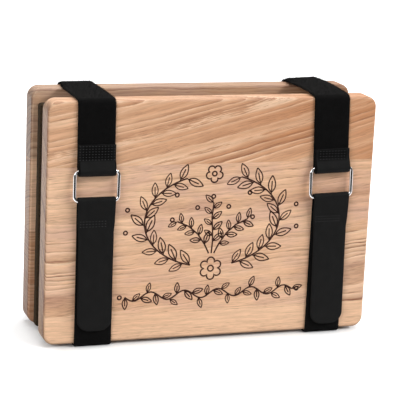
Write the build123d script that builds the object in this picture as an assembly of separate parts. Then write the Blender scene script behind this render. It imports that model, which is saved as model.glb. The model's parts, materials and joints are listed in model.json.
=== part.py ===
from build123d import *
import math
import os

# A flower press that stands on its long edge. Millimetres, +Z up, the front faces -Y,
# and the origin is under the middle of the whole press.

# Boards
board_width = 250.0
board_height = 178.8
board_thickness = 18.0
board_corner_radius = 8.2
board_edge_radius = 2.0

# Pack of sheets between the boards, standing on the straps
foam_side_margin = 4.5  # from the foam's edge to the boards' ends
foam_top_margin = 10.0
sheet_side_margin = 8.0  # the same for the dividers and blotters
sheet_top_margin = 12.0
bay_count = 4  # places where flowers lie, each between two blotters
foam_thickness = 8.0
divider_thickness = 2.8
blotter_thickness = 0.5

# Corrugated board of the dividers
liner_thickness = 0.4
flute_pitch = 6.6
flute_wall = 0.4  # at the crests
flute_glue_line = 0.4  # width along which each crest is glued to its liner

# Straps of pile tape
left_strap_inset = 35.7  # from the boards' end to the strap's centre line
right_strap_inset = 35.0
strap_width = 28.0
strap_thickness = 2.2
strap_bend_relief = 0.3  # how much tighter the tape bends than the board's eased edge
left_sewn_end = 19.0  # from the ring's upper bar to the end of the sewn flap
right_sewn_end = 14.4
sewn_end_settle = 8.0  # height over which the flap closes onto the strap

# Wire rings
ring_wire = 2.5
ring_bar_spacing = 21.5
ring_side_gap = 1.0  # between the tape's edge and the ring's side bar
ring_corner_radius = 2.0  # on the inside of the bend
ring_corner_facets = 2  # short lengths of wire in each bend
ring_clearance = 0.3  # between the wire and the tape that turns on it
left_ring_drop = 49.7  # from the top of the boards to the ring's upper bar
right_ring_drop = 52.6

# Tails of hook tape
left_tail_length = 97.1  # from the ring's lower bar to the tip
right_tail_length = 99.1
tail_thickness = 1.2
tail_tip_radius = 9.0
tail_settle = 14.0  # height over which the tail comes down onto the strap
tail_stub = 3.0  # tape that hangs behind the ring's lower bar
hook_thickness = 0.7
hook_margin = 2.0  # bare tape beside the hooks
hook_start = 6.0  # below the place where the tail lies flat
hook_end = 6.0  # above the tip
peel_gap = 0.3  # between the hooks and the pile, and round the tail's stub

# Worked out from the sizes above
pack_thickness = (
    2 * foam_thickness
    + (bay_count + 1) * divider_thickness
    + 2 * bay_count * blotter_thickness
)
stack_depth = 2 * board_thickness + pack_thickness
loop_radius = ring_wire / 2 + ring_clearance
front_reach = 2 * strap_thickness + 2 * loop_radius
whole_depth = front_reach + stack_depth + strap_thickness
front_face = front_reach - whole_depth / 2
back_face = front_face + stack_depth
front_board_back = front_face + board_thickness
rear_board_front = back_face - board_thickness
bottom = strap_thickness
top = bottom + board_height
bar_y = front_face - strap_thickness - loop_radius
ring_inner_width = strap_width + 2 * ring_side_gap
foam_width = board_width - 2 * foam_side_margin
foam_height = board_height - foam_top_margin
sheet_width = board_width - 2 * sheet_side_margin
sheet_height = board_height - sheet_top_margin


def polar(centre, radius, angle):
    return (
        centre[0] + radius * math.cos(math.radians(angle)),
        centre[1] + radius * math.sin(math.radians(angle)),
    )


def window(y_low, y_high, z_low, z_high):
    # A rectangle of the side view, by its limits
    middle = Pos((y_low + y_high) / 2, (z_low + z_high) / 2)
    return middle * Rectangle(y_high - y_low, z_high - z_low)


def bend(centre, inner_radius, thickness, start, sweep):
    # Tape that turns round a bar, in the side view
    inside = CenterArc(centre, inner_radius, start, sweep)
    outside = CenterArc(centre, inner_radius + thickness, start, sweep)
    ends = [Line(inside @ 1, outside @ 1), Line(outside @ 0, inside @ 0)]
    return make_face([inside, ends[0], outside, ends[1]])


def leg(centre, inner_radius, thickness, angle, length, turn):
    # Straight tape that leaves a bend at the given angle, turning +1 or -1
    inside = polar(centre, inner_radius, angle)
    outside = polar(centre, inner_radius + thickness, angle)
    ahead = polar((0, 0), length, angle + 90 * turn)
    far_inside = (inside[0] + ahead[0], inside[1] + ahead[1])
    far_outside = (outside[0] + ahead[0], outside[1] + ahead[1])
    return make_face(Polyline(inside, far_inside, far_outside, outside, close=True))


def tape(side_view, x):
    # Side views are drawn in Y and Z, and the tape runs equally to both sides of x
    return extrude(Plane.YZ.offset(x) * side_view, strap_width / 2, both=True)


def board(y_low):
    middle = Pos(0, y_low + board_thickness / 2, bottom + board_height / 2)
    blank = middle * Box(board_width, board_thickness, board_height)
    blank = fillet(blank.edges().filter_by(Axis.Y), board_corner_radius)
    faces = blank.faces().sort_by(Axis.Y)
    return fillet(faces[0].edges() + faces[-1].edges(), board_edge_radius)


def foam_pad(y_low):
    middle = Pos(0, y_low + foam_thickness / 2, bottom + foam_height / 2)
    return middle * Box(foam_width, foam_thickness, foam_height)


def blotter(y_low):
    middle = Pos(0, y_low + blotter_thickness / 2, bottom + sheet_height / 2)
    return middle * Box(sheet_width, blotter_thickness, sheet_height)


def divider(y_low):
    # Two liners with zigzag fluting between them, drawn from above and run up the sheet
    core = divider_thickness - 2 * liner_thickness
    half_mouth = (flute_pitch - flute_glue_line) / 2
    middle = y_low + divider_thickness / 2
    channels = []
    count = int((sheet_width - flute_pitch) / (flute_pitch / 2))
    for index in range(count):
        x = (index - (count - 1) / 2) * flute_pitch / 2
        facing = 1 if index % 2 else -1
        mouth = middle + facing * core / 2
        crest = middle - facing * (core / 2 - flute_wall)
        corners = [(x - half_mouth, mouth), (x + half_mouth, mouth), (x, crest)]
        channels.append(Wire.make_polygon([(*corner, bottom) for corner in corners]))
    ends = [y_low, y_low + divider_thickness]
    half = sheet_width / 2
    outline = [(-half, ends[0]), (half, ends[0]), (half, ends[1]), (-half, ends[1])]
    rim = Wire.make_polygon([(*corner, bottom) for corner in outline])
    return extrude(Face(rim, channels), sheet_height, dir=(0, 0, 1))


def strap_loop():
    # The whole turn of tape round the closed press, in the side view
    radius = board_edge_radius - strap_bend_relief
    middle = Pos((front_face + back_face) / 2, bottom + board_height / 2)
    inside = RectangleRounded(stack_depth, board_height, radius)
    outside = RectangleRounded(
        stack_depth + 2 * strap_thickness,
        board_height + 2 * strap_thickness,
        radius + strap_thickness,
    )
    return middle * (outside - inside)


def strap_back():
    # From the front board's back edge over the rear board and back under it
    return strap_loop() & window(front_board_back, back_face + strap_thickness, 0, top + strap_thickness)


def strap_upper(upper_bar, sewn_end):
    # Over the front board, down to the ring, round its upper bar and back up to the seam
    centre = (bar_y, upper_bar)
    front = front_face - strap_thickness
    run = strap_loop() & window(front, front_board_back, upper_bar, top + strap_thickness)
    lean = 2 * math.degrees(math.atan2(loop_radius, sewn_end_settle))
    turn = bend(centre, loop_radius, strap_thickness, 0, -180 - lean)
    rise = leg(centre, loop_radius, strap_thickness, -180 - lean, sewn_end_settle, -1)
    flap = window(front - strap_thickness, front, upper_bar + sewn_end_settle, upper_bar + sewn_end)
    return run + turn + rise + flap


def strap_lower(lower_bar):
    # Under the front board and up its face, ending clear of the tail's stub as it turns
    corner = math.hypot(loop_radius + tail_thickness, tail_stub)
    reach = math.sqrt(corner**2 - loop_radius**2)
    end = lower_bar - reach - peel_gap
    return strap_loop() & window(front_face - strap_thickness, front_board_back, 0, end)


tail_inner_face = front_face - strap_thickness - peel_gap - hook_thickness


def tail(lower_bar, tail_length):
    # Up behind the ring's lower bar, over it and down the front
    centre = (bar_y, lower_bar)
    drop = (tail_inner_face - bar_y, -tail_settle)
    length = math.sqrt(math.hypot(*drop) ** 2 - loop_radius**2)
    toward = math.degrees(math.atan2(drop[1], drop[0])) + 360
    end = toward - math.degrees(math.atan2(length, loop_radius))
    tip = lower_bar - tail_length
    back = bar_y + loop_radius
    stub = window(back, back + tail_thickness, lower_bar - tail_stub, lower_bar)
    turn = bend(centre, loop_radius, tail_thickness, 0, end)
    lean = leg(centre, loop_radius, tail_thickness, end, length, 1)
    flat = window(tail_inner_face - tail_thickness, tail_inner_face, tip, lower_bar - tail_settle)
    return stub + turn + lean + flat


def rounded_tail(lower_bar, tail_length, x):
    strip = tape(tail(lower_bar, tail_length), x)
    tip_corners = strip.edges().filter_by(Axis.Y).group_by(Axis.Z)[0]
    return fillet(tip_corners, tail_tip_radius)


def hook_patch(lower_bar, tail_length, x):
    high = lower_bar - tail_settle - hook_start
    low = lower_bar - tail_length + hook_end
    width = strap_width - 2 * hook_margin
    middle = Pos(x, tail_inner_face + hook_thickness / 2, (low + high) / 2)
    patch = middle * Box(width, hook_thickness, high - low)
    lower_corners = patch.edges().filter_by(Axis.Y).group_by(Axis.Z)[0]
    return fillet(lower_corners, tail_tip_radius - hook_margin)


def ring(upper_bar, x):
    # Round wire with mitred bends, swept from the middle of its right-hand bar
    half_width = (ring_inner_width + ring_wire) / 2
    half_height = ring_bar_spacing / 2
    radius = ring_corner_radius + ring_wire / 2
    turn = 90 / (ring_corner_facets + 1)
    reach = radius / math.cos(math.radians(turn / 2))
    points = [(half_width, 0)]
    for quarter, (right, up) in enumerate([(1, 1), (-1, 1), (-1, -1), (1, -1)]):
        centre = (right * (half_width - radius), up * (half_height - radius))
        for corner in range(ring_corner_facets + 1):
            points.append(polar(centre, reach, 90 * quarter + turn * (corner + 0.5)))
    middle = Plane((x, bar_y, upper_bar - half_height), x_dir=(1, 0, 0), z_dir=(0, -1, 0))
    path = middle * Polyline(*points, close=True).wire()
    return sweep((path ^ 0) * Circle(ring_wire / 2), path, transition=Transition.RIGHT)


nodes = {
    "rear_board": board(rear_board_front),
    "front_board": board(front_face),
    "rear_foam_pad": foam_pad(rear_board_front - foam_thickness),
    "front_foam_pad": foam_pad(front_board_back),
}

# Dividers and blotters from the rear foam forwards, with a pressing bay between each two blotters
place = rear_board_front - foam_thickness
for bay in range(bay_count + 1):
    if bay > 0:
        place -= blotter_thickness
        nodes[f"blotter_{2 * bay}"] = blotter(place)
    place -= divider_thickness
    nodes[f"divider_{bay + 1}"] = divider(place)
    if bay < bay_count:
        place -= blotter_thickness
        nodes[f"blotter_{2 * bay + 1}"] = blotter(place)

left_x = left_strap_inset - board_width / 2
right_x = board_width / 2 - right_strap_inset
sides = {
    "left": (left_x, top - left_ring_drop, left_sewn_end, left_tail_length),
    "right": (right_x, top - right_ring_drop, right_sewn_end, right_tail_length),
}
for side, (x, upper_bar, sewn_end, tail_length) in sides.items():
    lower_bar = upper_bar - ring_bar_spacing
    nodes[f"{side}_strap_back"] = tape(strap_back(), x)
    nodes[f"{side}_strap_upper"] = tape(strap_upper(upper_bar, sewn_end), x)
    nodes[f"{side}_strap_lower"] = tape(strap_lower(lower_bar), x)
    nodes[f"{side}_ring"] = ring(upper_bar, x)
    nodes[f"{side}_tail"] = rounded_tail(lower_bar, tail_length, x)
    nodes[f"{side}_hook_patch"] = hook_patch(lower_bar, tail_length, x)

os.makedirs("parts", exist_ok=True)
for name, shape in nodes.items():
    export_step(shape, f"parts/{name}.step")
    size = shape.bounding_box().size
    print(f"{name}: {size.X:.1f} x {size.Y:.1f} x {size.Z:.1f} mm, {shape.volume / 1000:.2f} cm3")
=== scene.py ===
import json
import math
import random

import bmesh
import bpy
from mathutils import Matrix, Vector


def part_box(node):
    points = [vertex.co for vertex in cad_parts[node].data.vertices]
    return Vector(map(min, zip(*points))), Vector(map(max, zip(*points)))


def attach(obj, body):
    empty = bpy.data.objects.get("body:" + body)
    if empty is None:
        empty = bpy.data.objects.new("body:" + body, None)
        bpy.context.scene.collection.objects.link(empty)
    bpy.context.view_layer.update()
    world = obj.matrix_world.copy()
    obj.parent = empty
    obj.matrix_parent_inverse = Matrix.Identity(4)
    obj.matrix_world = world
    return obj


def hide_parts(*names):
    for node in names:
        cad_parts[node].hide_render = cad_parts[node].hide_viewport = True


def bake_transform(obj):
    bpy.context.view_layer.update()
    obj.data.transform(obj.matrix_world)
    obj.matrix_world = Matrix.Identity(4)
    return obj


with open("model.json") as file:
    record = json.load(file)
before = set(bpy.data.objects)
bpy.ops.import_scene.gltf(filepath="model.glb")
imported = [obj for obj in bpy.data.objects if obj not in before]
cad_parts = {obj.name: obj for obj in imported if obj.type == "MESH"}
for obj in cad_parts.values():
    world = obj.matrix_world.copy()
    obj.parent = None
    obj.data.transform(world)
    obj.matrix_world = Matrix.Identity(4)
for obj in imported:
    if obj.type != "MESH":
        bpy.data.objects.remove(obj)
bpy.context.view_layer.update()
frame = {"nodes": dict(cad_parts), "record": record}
scene = bpy.context.scene
scene.view_settings.view_transform = "Standard"
print("frame loaded with", len(frame["nodes"]), "nodes")


def boxOf(nodeName):
    return [[1000 * value for value in corner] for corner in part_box(nodeName)]


def metres(*values):
    return tuple(value / 1000 for value in values)


def clamp(value):
    return min(1.0, max(0.0, value))


def bodyOf(nodeName):
    for body, members in frame["record"]["behaviour"]["bodies"].items():
        if nodeName in members:
            return body


def srgb(red, green, blue):
    parts = []
    for value in (red, green, blue):
        value = value / 255
        parts.append(value / 12.92 if value < 0.04045 else ((value + 0.055) / 1.055) ** 2.4)
    return (*parts, 1.0)


# Places on the press, in millimetres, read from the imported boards
boardLow, boardHigh = boxOf("front_board")
rearLow, rearHigh = boxOf("rear_board")
frontFace, frontBack = boardLow[1], boardHigh[1]
rearFront, backFace = rearLow[1], rearHigh[1]
boardBottom, boardTop = boardLow[2], boardHigh[2]


# Node helpers, for materials and for geometry alike
def node(tree, kind, inputs=None, **settings):
    made = tree.nodes.new(kind)
    for key, value in settings.items():
        setattr(made, key, value)
    for key, value in (inputs or {}).items():
        if isinstance(value, bpy.types.NodeSocket):
            tree.links.new(value, made.inputs[key])
        else:
            made.inputs[key].default_value = value
    return made


def calc(tree, operation, first, second=0.0, third=0.0):
    return node(tree, "ShaderNodeMath", {0: first, 1: second, 2: third}, operation=operation).outputs[0]


def product(tree, first, second):
    return calc(tree, "MULTIPLY", first, second)


def combine(tree, x=0.0, y=0.0, z=0.0):
    return node(tree, "ShaderNodeCombineXYZ", {0: x, 1: y, 2: z}).outputs[0]


def axes(tree, vector):
    return node(tree, "ShaderNodeSeparateXYZ", {0: vector}).outputs


def vectorCalc(tree, operation, first, second=(0, 0, 0)):
    return node(tree, "ShaderNodeVectorMath", {0: first, 1: second}, operation=operation).outputs[0]


def scaled(tree, vector, amount):
    return node(tree, "ShaderNodeVectorMath", {0: vector, 3: amount}, operation="SCALE").outputs[0]


def lengthOf(tree, vector):
    return node(tree, "ShaderNodeVectorMath", {0: vector}, operation="LENGTH").outputs["Value"]


def mixColour(tree, amount, first, second, blendType="MIX"):
    inputs = {0: amount, 6: first, 7: second}
    return node(tree, "ShaderNodeMix", inputs, data_type="RGBA", blend_type=blendType).outputs[2]


def noise(tree, place, scale=1.0, detail=2.0, roughness=0.5):
    inputs = {"Vector": place, "Scale": scale, "Detail": detail, "Roughness": roughness}
    return node(tree, "ShaderNodeTexNoise", inputs).outputs[0]


def remap(tree, value, fromLow, fromHigh, toLow=0.0, toHigh=1.0):
    inputs = {0: value, 1: fromLow, 2: fromHigh, 3: toLow, 4: toHigh}
    return node(tree, "ShaderNodeMapRange", inputs).outputs[0]


def ramp(tree, factor, stops, interpolation="LINEAR"):
    made = node(tree, "ShaderNodeValToRGB", {0: factor})
    made.color_ramp.interpolation = interpolation
    elements = made.color_ramp.elements
    elements.remove(elements[1])
    for index, (place, colour) in enumerate(stops):
        element = elements.new(place) if index else elements[0]
        element.position = place
        element.color = (*colour[:3], 1.0)
    return made.outputs[0]


def emptyTree(owner):
    owner.use_nodes = True
    owner.node_tree.nodes.clear()
    return owner.node_tree


def startMaterial(name, **constants):
    material = bpy.data.materials.new(name)
    tree = emptyTree(material)
    shader = node(tree, "ShaderNodeBsdfPrincipled")
    for key, value in constants.items():
        shader.inputs[key.replace("_", " ")].default_value = value
    node(tree, "ShaderNodeOutputMaterial", {0: shader.outputs[0]})
    return material, tree, shader


def millimetres(tree):
    return scaled(tree, node(tree, "ShaderNodeTexCoord").outputs["Object"], 1000.0)


def tapePlace(tree):
    # Millimetres round the tape, then along it
    return node(tree, "ShaderNodeAttribute", attribute_name="tapePlace").outputs["Vector"]


def feed(tree, shader, **sockets):
    for key, value in sockets.items():
        tree.links.new(value, shader.inputs[key.replace("_", " ")])


def addBump(tree, shader, height, strength, distance):
    made = node(tree, "ShaderNodeBump", {"Height": height, "Strength": strength, "Distance": distance})
    feed(tree, shader, Normal=made.outputs[0])


# Edge-glued ash: growth rings round a pith line for each stave, sizes in millimetres
ashLook = {
    "pale": srgb(239, 197, 161),
    "warm": srgb(190, 128, 84),
    "streak": srgb(130, 78, 52),
    "ridge": srgb(246, 212, 180),
    "pore": srgb(116, 72, 50),
    "rose": srgb(214, 172, 150),
    # End faces: the grey of end grain, darkened further as painted shade
    "endGrainAndShade": srgb(181, 168, 154),
    # Painted shade on the rounded long edges: the share of their colour that is kept
    "paintedEdgeShade": 0.7,
}
# Each stave runs from a height up to the next one. Slope, warp and the pith place its rings, and pitch spaces
# them. Mark is how dark they are, ends adds to it at both ends, calm takes from it at the right end.
staveKeys = "from slope pitch warp pithY pithZ mark ends tint fade rose tone calm".split()
frontStaves = [
    (0.0, -0.01, 2.6, 0.8, 70, -60, 0.25, 0.0, 0.04, 0.0, 0.05, 1.0, 0.0),
    (22.9, 0.06, 2.9, 2.6, 60, -20, 0.5, 1.3, 0.16, 0.02, 0.45, 1.0, 0.0),
    (78.2, 0.06, 4.2, 2.6, 70, 10, 0.4, 0.0, 0.14, 0.2, 0.7, 1.0, 0.0),
    (133.5, 0.245, 5.8, 0.9, 90, 40, 1.25, 0.0, 0.62, 0.2, 0.0, 1.0, 0.55),
]
rearStaves = [
    (0.0, 0.02, 3.0, 1.0, 35, -70, 0.6, 0.0, 0.85, 0.1, 0.3, 0.86, 0.0),
    (18.2, -0.03, 2.7, 1.2, 33, -95, 0.8, 0.3, 0.75, 0.1, 0.35, 0.88, 0.0),
    (73.5, 0.03, 2.6, 1.5, -50, 10, 0.45, 0.0, 0.35, 0.3, 0.2, 0.92, 0.0),
    (128.8, -0.12, 4.4, 1.6, -40, 100, 1.1, 0.0, 0.4, 0.4, 0.6, 0.64, 0.0),
]


def ashWood(name, staves, seed):
    material, tree, shader = startMaterial(name, Specular_IOR_Level=0.35)
    x, y, z = axes(tree, millimetres(tree))
    tallest = 200.0
    level = calc(tree, "DIVIDE", z, tallest)

    def perStave(*keys):
        stops = []
        for stave in staves:
            stops.append((stave[0] / tallest, [stave[staveKeys.index(key)] for key in keys]))
        return axes(tree, ramp(tree, level, stops, "CONSTANT"))

    slope, pitch, warpSize = perStave("slope", "pitch", "warp")
    pithY, pithZ, rose = perStave("pithY", "pithZ", "rose")
    mark, ends, calm = perStave("mark", "ends", "calm")
    tint, fade, tone = perStave("tint", "fade", "tone")
    staveSeed = calc(tree, "MULTIPLY_ADD", pithZ, 3.7, seed)

    def drawnOut(scaleX, scaleY, scaleZ, height, detail=2.0, roughness=0.5):
        # Noise that is stretched along the board
        spotZ = calc(tree, "MULTIPLY_ADD", height, scaleZ, staveSeed)
        return noise(tree, combine(tree, product(tree, x, scaleX), scaleY, spotZ), 1.0, detail, roughness)

    def times(first, second):
        return product(tree, first, second)

    # The grain leans and bows along the board, with slow waves in it
    bow = calc(tree, "MULTIPLY_ADD", times(x, x), 0.00086, x)
    slow = calc(tree, "SUBTRACT", drawnOut(0.016, times(y, 0.03), 0.045, z), 0.5)
    curl = calc(tree, "SUBTRACT", drawnOut(0.06, 2.0, 0.1, z, 1.0), 0.5)
    wave = times(warpSize, calc(tree, "MULTIPLY_ADD", slow, 2.6, times(curl, 0.7)))
    grainZ = calc(tree, "ADD", calc(tree, "SUBTRACT", z, times(slope, bow)), wave)

    # Distance from the pith, in growth rings, with edges that the pores feather
    offY, offZ = calc(tree, "SUBTRACT", y, pithY), calc(tree, "SUBTRACT", grainZ, pithZ)
    radius = calc(tree, "SQRT", calc(tree, "ADD", times(offY, offY), times(offZ, offZ)))
    unevenAt = calc(tree, "MULTIPLY_ADD", radius, 0.11, staveSeed)
    unevenInputs = {"W": unevenAt, "Scale": 1.0, "Detail": 1.0}
    uneven = node(tree, "ShaderNodeTexNoise", unevenInputs, noise_dimensions="1D").outputs[0]
    feather = drawnOut(0.07, times(y, 0.6), 1.3, grainZ, 3.0, 0.6)
    rings = calc(tree, "MULTIPLY_ADD", uneven, 2.8, calc(tree, "DIVIDE", radius, pitch))
    rings = calc(tree, "MULTIPLY_ADD", feather, 0.45, rings)
    ringNumber = calc(tree, "ADD", calc(tree, "FLOOR", rings), staveSeed)
    vigour = node(tree, "ShaderNodeTexWhiteNoise", {"W": ringNumber}, noise_dimensions="1D").outputs[0]
    profile = ramp(
        tree,
        calc(tree, "FRACT", rings),
        [
            (0.0, (0.25, 0.4, 0)),
            (0.06, (0.9, 0, 0)),
            (0.18, (1.0, 0, 0)),
            (0.32, (0.5, 0, 0)),
            (0.55, (0.2, 0.1, 0)),
            (0.8, (0.04, 0.3, 0)),
            (0.97, (0.0, 1.0, 0)),
        ],
    )
    early, late = axes(tree, profile)[:2]
    mark = calc(tree, "MULTIPLY_ADD", ends, remap(tree, calc(tree, "ABSOLUTE", x), 60.0, 112.0), mark)
    mark = times(mark, remap(tree, drawnOut(0.018, 9.0, 0.035, z), 0.36, 0.62, 0.45, 1.0))
    mark = times(mark, calc(tree, "SUBTRACT", 1.0, times(calm, remap(tree, x, 85.0, 105.0))))
    # End grain drinks the finish: it goes greyer, and its rings show more. Its colour is also darker than the
    # grain alone would make it: painted shade on the board's end faces.
    facing = vectorCalc(tree, "ABSOLUTE", node(tree, "ShaderNodeTexCoord").outputs["Normal"])
    facingX, facingY, facingZ = axes(tree, facing)
    endGrainAndShade = remap(tree, facingX, 0.55, 0.95)
    mark = calc(tree, "MULTIPLY_ADD", endGrainAndShade, 0.7, mark)
    dash = drawnOut(0.11, times(y, 1.8), 1.9, grainZ, 2.0)
    dark = times(times(early, mark), remap(tree, vigour, 0.0, 1.0, 0.15, 0.85))
    dark = times(dark, remap(tree, dash, 0.35, 0.65, 0.6, 1.15))
    light = times(times(late, mark), 0.6)

    # Fibres and pores drawn out along the grain
    fibre = drawnOut(0.045, times(y, 0.5), 0.75, grainZ, 5.0, 0.72)
    pore = remap(tree, drawnOut(0.1, times(y, 2.4), 2.6, grainZ), 0.58, 0.7)
    pore = times(pore, remap(tree, early, 0.05, 0.7, 0.16, 0.6))
    patch = drawnOut(0.009, 4.0, 0.045, grainZ, 3.0)
    drift = calc(tree, "MULTIPLY_ADD", fade, calc(tree, "DIVIDE", x, 125.0), tint)
    warmth = calc(tree, "MULTIPLY_ADD", calc(tree, "SUBTRACT", patch, 0.5), 1.05, drift)

    colour = mixColour(tree, remap(tree, warmth, 0.0, 1.0), ashLook["pale"], ashLook["warm"])
    blush = times(rose, remap(tree, drawnOut(0.03, 6.0, 0.07, grainZ), 0.42, 0.62))
    colour = mixColour(tree, blush, colour, ashLook["rose"])
    colour = mixColour(tree, dark, colour, ashLook["streak"])
    colour = mixColour(tree, light, colour, ashLook["ridge"])
    shade = times(tone, remap(tree, fibre, 0.28, 0.72, 0.8, 1.16))
    colour = scaled(tree, colour, shade)
    colour = mixColour(tree, pore, colour, ashLook["pore"])
    # End faces take the grey end-grain colour, with painted shade darkening it further
    colour = mixColour(tree, endGrainAndShade, colour, ashLook["endGrainAndShade"], "MULTIPLY")
    # Painted shade on the rounded long edges, where the front or back meets the top or bottom: their colour is
    # darkened to hold down the highlight there
    edgeShadeMask = times(facingY, facingZ)
    colour = scaled(tree, colour, remap(tree, edgeShadeMask, 0.0, 0.5, 1.0, ashLook["paintedEdgeShade"]))
    feed(tree, shader, Base_Color=colour, Roughness=remap(tree, fibre, 0.3, 0.7, 0.52, 0.42))
    height = calc(tree, "SUBTRACT", times(fibre, 0.5), calc(tree, "ADD", pore, times(dark, 0.3)))
    addBump(tree, shader, height, 0.15, 0.0003)
    return material


# Corrugated dividers: a wave of paper between two liners
cardForm = {"liner": 0.4, "paper": 0.3, "pitch": 6.6}


def kraftCard():
    material, tree, shader = startMaterial("kraft_card", Roughness=0.86, Specular_IOR_Level=0.2)
    place = millimetres(tree)
    x, y, z = axes(tree, place)
    fibreAt = combine(tree, product(tree, x, 0.5), y, product(tree, z, 0.16))
    fibre = noise(tree, fibreAt, 1.6, 5.0, 0.65)
    colour = mixColour(tree, remap(tree, fibre, 0.3, 0.7), srgb(150, 108, 70), srgb(190, 147, 104))
    speck = remap(tree, noise(tree, place, 2.2, 2.0), 0.66, 0.72, 0.0, 0.5)
    colour = mixColour(tree, speck, colour, srgb(108, 74, 46))
    feed(tree, shader, Base_Color=colour)
    # The fluting shows faintly through the liners
    washboard = calc(tree, "SINE", product(tree, x, 2 * math.pi / cardForm["pitch"]))
    addBump(tree, shader, calc(tree, "MULTIPLY_ADD", washboard, 0.4, fibre), 0.3, 0.0003)
    return material


def blottingPaper():
    material, tree, shader = startMaterial("blotting_paper", Roughness=0.93, Specular_IOR_Level=0.15)
    place = millimetres(tree)
    felt = noise(tree, place, 0.9, 6.0, 0.7)
    colour = mixColour(tree, remap(tree, felt, 0.3, 0.7), srgb(222, 216, 202), srgb(240, 236, 226))
    cloud = noise(tree, place, 0.03, 2.0)
    colour = mixColour(tree, remap(tree, cloud, 0.4, 0.7, 0.0, 0.25), colour, srgb(226, 212, 186))
    feed(tree, shader, Base_Color=colour)
    addBump(tree, shader, felt, 0.35, 0.0002)
    return material


def blackFoam():
    material, tree, shader = startMaterial("black_foam", Roughness=0.92, Specular_IOR_Level=0.2)
    place = millimetres(tree)
    cells = node(tree, "ShaderNodeTexVoronoi", {"Vector": place, "Scale": 1.1}).outputs["Distance"]
    tone = calc(tree, "MULTIPLY_ADD", noise(tree, place, 0.4, 3.0), 0.5, product(tree, cells, 0.6))
    colour = mixColour(tree, remap(tree, tone, 0.3, 0.9), srgb(66, 52, 35), srgb(31, 23, 15))
    feed(tree, shader, Base_Color=colour)
    addBump(tree, shader, cells, 0.6, 0.0004)
    return material


def pileTape():
    sheen = {"Sheen_Weight": 0.02, "Sheen_Roughness": 0.6}
    material, tree, shader = startMaterial("pile_tape", Roughness=0.95, Specular_IOR_Level=0.05, **sheen)
    place = tapePlace(tree)
    tuft = noise(tree, place, 1.3, 4.0, 0.75)
    drift = noise(tree, place, 0.09, 2.0)
    amount = calc(tree, "MULTIPLY_ADD", drift, 0.5, product(tree, tuft, 0.6))
    colour = mixColour(tree, remap(tree, amount, 0.3, 0.8), srgb(6, 6, 6), srgb(16, 15, 15))
    feed(tree, shader, Base_Color=colour)
    addBump(tree, shader, tuft, 0.9, 0.0006)
    return material


def wovenTape():
    material, tree, shader = startMaterial("woven_tape", Sheen_Weight=0.02, Sheen_Roughness=0.5)
    around, along = axes(tree, tapePlace(tree))[:2]
    # Plain weave: warp ribs one way, weft floats the other, half a thread out of step
    warp = calc(tree, "SINE", product(tree, around, 2 * math.pi / 0.9))
    weft = calc(tree, "SINE", product(tree, along, 2 * math.pi / 0.75))
    weave = product(tree, warp, weft)
    wearAt = combine(tree, product(tree, around, 0.16), product(tree, along, 0.1))
    wear = noise(tree, wearAt, 1.0, 3.0)
    amount = calc(tree, "MULTIPLY_ADD", weave, 0.14, calc(tree, "MULTIPLY_ADD", wear, 0.5, 0.25))
    colour = mixColour(tree, remap(tree, amount, 0.25, 0.8), srgb(12, 12, 12), srgb(22, 22, 22))
    # Tape that is pulled down by its seam lies in its own shade
    seam = node(tree, "ShaderNodeAttribute", attribute_name="sewn").outputs["Fac"]
    colour = mixColour(tree, seam, colour, srgb(4, 4, 4))
    feed(tree, shader, Base_Color=colour, Roughness=remap(tree, amount, 0.2, 0.8, 0.8, 0.62))
    feed(tree, shader, Specular_IOR_Level=remap(tree, seam, 0.0, 1.0, 0.1, 0.07))
    addBump(tree, shader, weave, 0.35, 0.0002)
    return material


def sewingThread():
    material, tree, shader = startMaterial("sewing_thread", Roughness=0.6, Specular_IOR_Level=0.2)
    place = axes(tree, millimetres(tree))
    twist = calc(tree, "SINE", product(tree, calc(tree, "ADD", place[2], place[0]), 18.0))
    colour = mixColour(tree, remap(tree, twist, -1.0, 1.0), srgb(37, 37, 38), srgb(60, 60, 61))
    feed(tree, shader, Base_Color=colour)
    return material


def mouldedHooks():
    material, tree, shader = startMaterial("moulded_hooks", Specular_IOR_Level=0.45)
    speckle = noise(tree, millimetres(tree), 1.4, 3.0)
    colour = mixColour(tree, speckle, srgb(16, 16, 17), srgb(38, 38, 40))
    feed(tree, shader, Base_Color=colour, Roughness=remap(tree, speckle, 0.3, 0.7, 0.6, 0.4))
    return material


def chromeWire():
    material, tree, shader = startMaterial("chrome_wire", Metallic=1.0)
    smear = noise(tree, millimetres(tree), 0.35, 4.0)
    colour = mixColour(tree, smear, srgb(214, 214, 216), srgb(236, 236, 238))
    feed(tree, shader, Base_Color=colour, Roughness=remap(tree, smear, 0.3, 0.7, 0.06, 0.16))
    return material


def burntLine():
    material, tree, shader = startMaterial("burnt_line", Roughness=0.75, Specular_IOR_Level=0.2)
    char = noise(tree, millimetres(tree), 0.8, 4.0, 0.7)
    colour = mixColour(tree, remap(tree, char, 0.35, 0.75), srgb(50, 28, 22), srgb(84, 52, 40))
    feed(tree, shader, Base_Color=colour)
    addBump(tree, shader, char, 0.3, 0.0001)
    return material


ash = ashWood("ash_front", frontStaves, 3.0)
ashRear = ashWood("ash_rear", rearStaves, 41.0)
card, paper, foam = kraftCard(), blottingPaper(), blackFoam()
pile, woven, thread, hookPlastic = pileTape(), wovenTape(), sewingThread(), mouldedHooks()
chrome, burnt = chromeWire(), burntLine()
print("materials ready")


def dress(nodeName, material):
    mesh = frame["nodes"][nodeName].data
    if not mesh.materials:
        mesh.materials.append(material)
    for index in range(len(mesh.materials)):
        mesh.materials[index] = material


dress("front_board", ash)
dress("rear_board", ashRear)
for nodeName in frame["nodes"]:
    if nodeName.startswith("blotter"):
        dress(nodeName, paper)
print("boards and blotters dressed")


# Meshes and geometry trees
def addObject(name, data):
    made = bpy.data.objects.new(name, data)
    scene.collection.objects.link(made)
    return made


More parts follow.
